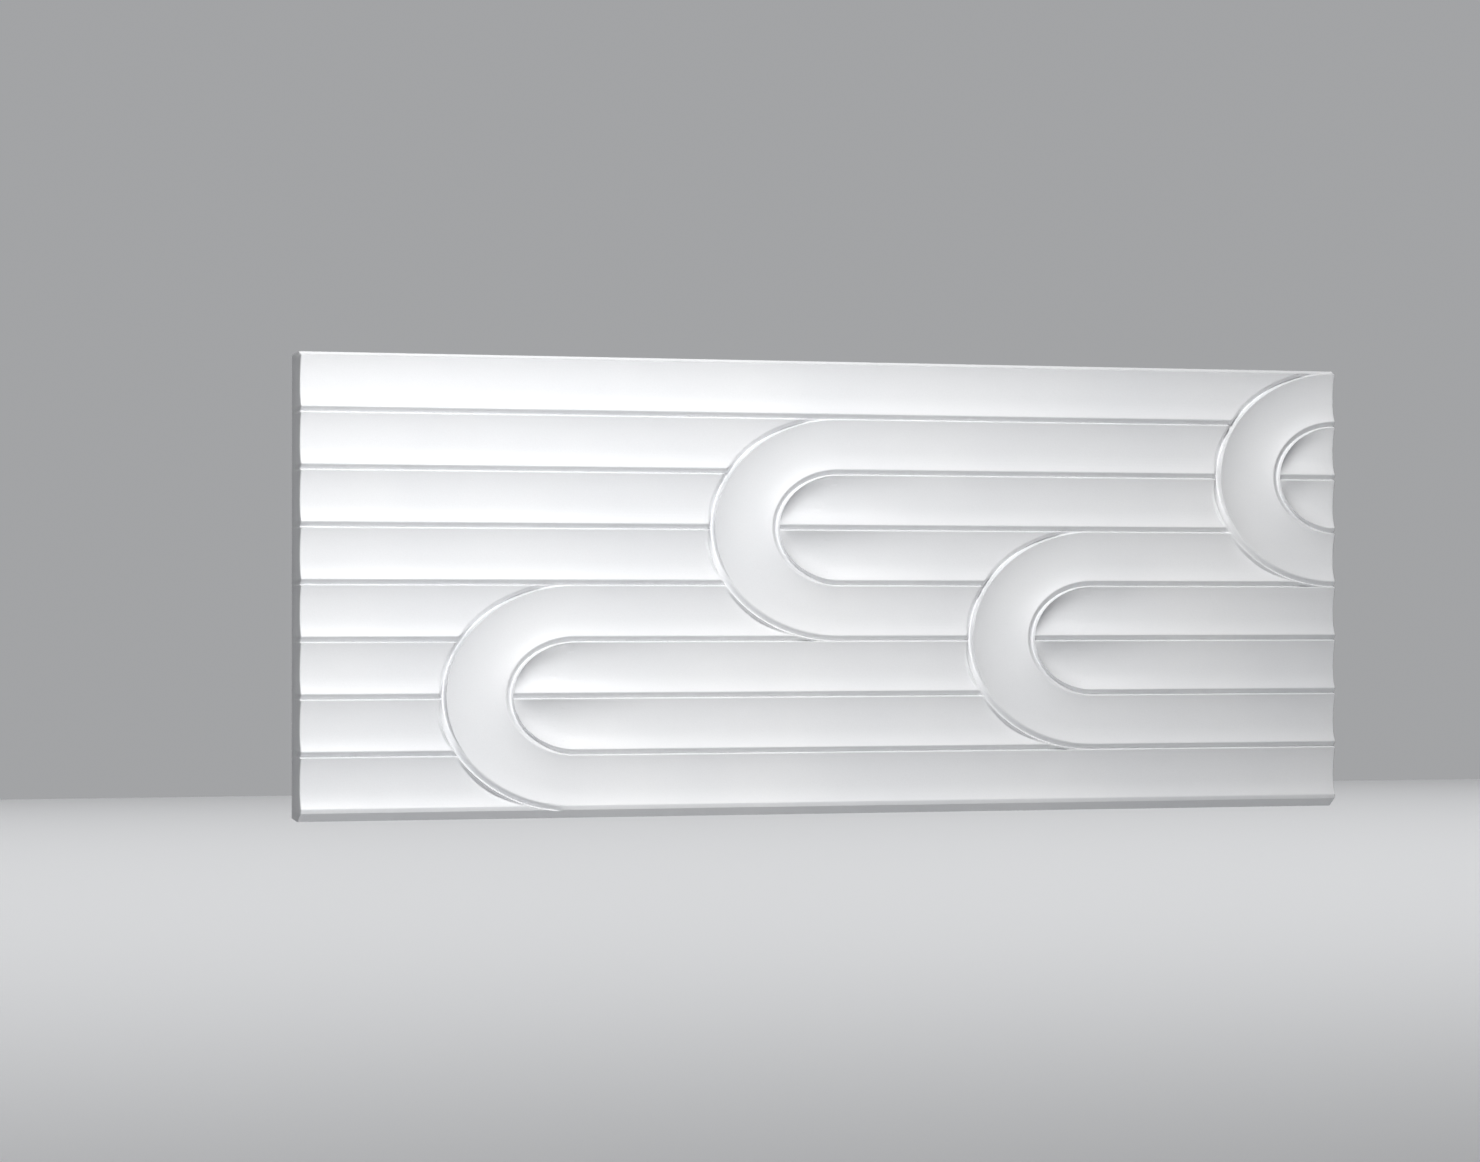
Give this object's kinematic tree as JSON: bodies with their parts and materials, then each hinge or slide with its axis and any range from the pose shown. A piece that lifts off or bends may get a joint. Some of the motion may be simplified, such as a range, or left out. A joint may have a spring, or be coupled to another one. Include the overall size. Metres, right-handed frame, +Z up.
{
  "type": "textured wall panel",
  "caption": "Wide white wall panel with level concave flutes parted by fine grooves, and staggered U-shaped bends that join pairs of flutes; flat back for fixing to a wall.",
  "frame": {"origin": "centre of the flat back face, where the panel is fixed to the wall", "axes": "+Z up, +Y into the wall, +X along the panel; the fluted front faces -Y"},
  "size_m": [1.2, 0.037, 0.4898],
  "materials": {
    "primer": "satin white primer"
  },
  "bodies": {
    "root": {"wall_panel": "primer"}
  },
  "joints": []
}
